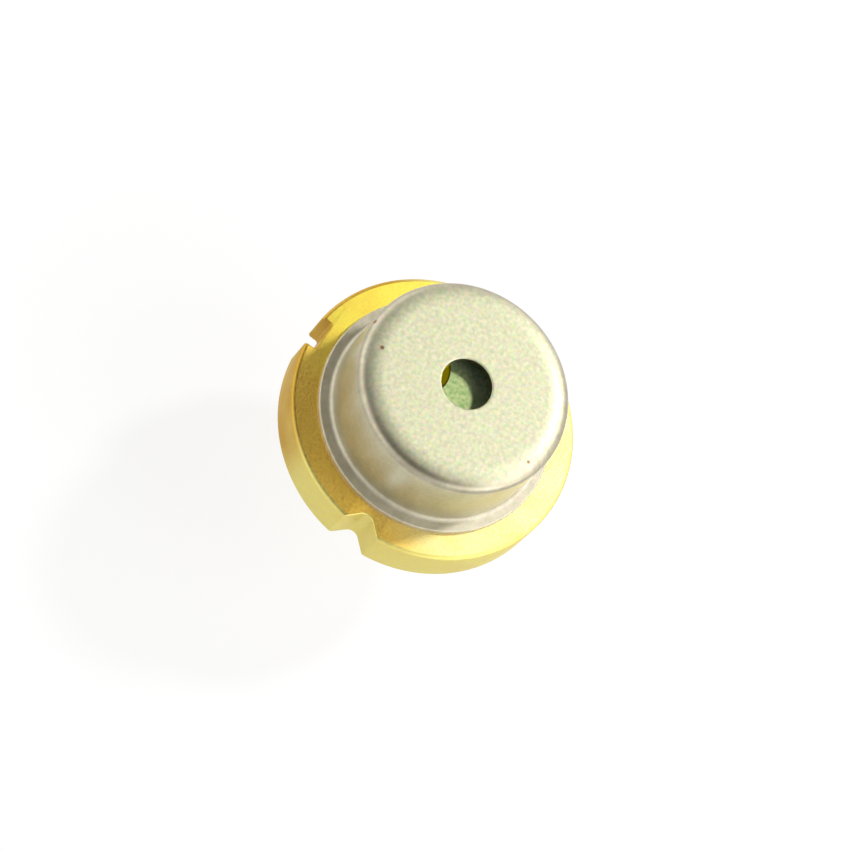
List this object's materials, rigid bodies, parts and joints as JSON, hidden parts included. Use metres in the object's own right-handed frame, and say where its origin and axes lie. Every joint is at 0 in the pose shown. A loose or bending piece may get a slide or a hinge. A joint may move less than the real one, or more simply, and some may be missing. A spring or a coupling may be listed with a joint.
{
  "type": "laser diode",
  "caption": "Can-type laser diode: a gold-plated stem flange with locating notches, a drawn nickel cap with a small glass window in its top, and round leads at the back.",
  "frame": {"origin": "centre of the flange face that the cap is welded to, which is the package's reference plane", "axes": "+Z is the optical axis, from the leads to the window; the V-notches lie on X and the square slot on -Y"},
  "size_m": [0.009, 0.009, 0.0094],
  "materials": {
    "gold_plated_steel": "satin",
    "drawn_nickel": "satin",
    "coated_glass": "gloss",
    "solder_glass": "satin",
    "gold_plated_lead": "satin",
    "bead_glass": "gloss",
    "gold_plated_copper": "satin",
    "metallised_ceramic": "satin",
    "laser_die": "gloss",
    "silicon_die": "gloss",
    "gold_wire": "polished"
  },
  "bodies": {
    "root": {"stem_flange": "gold_plated_steel", "cap_shell": "drawn_nickel", "window_glass": "coated_glass", "window_seal_ring": "solder_glass", "laser_lead": "gold_plated_lead", "monitor_lead": "gold_plated_lead", "case_lead": "gold_plated_lead", "laser_lead_glass": "bead_glass", "monitor_lead_glass": "bead_glass", "heatsink_block": "gold_plated_copper", "submount": "metallised_ceramic", "laser_chip": "laser_die", "monitor_photodiode": "silicon_die", "laser_bond_wire": "gold_wire", "submount_bond_wire": "gold_wire", "photodiode_bond_wire": "gold_wire"}
  },
  "joints": []
}
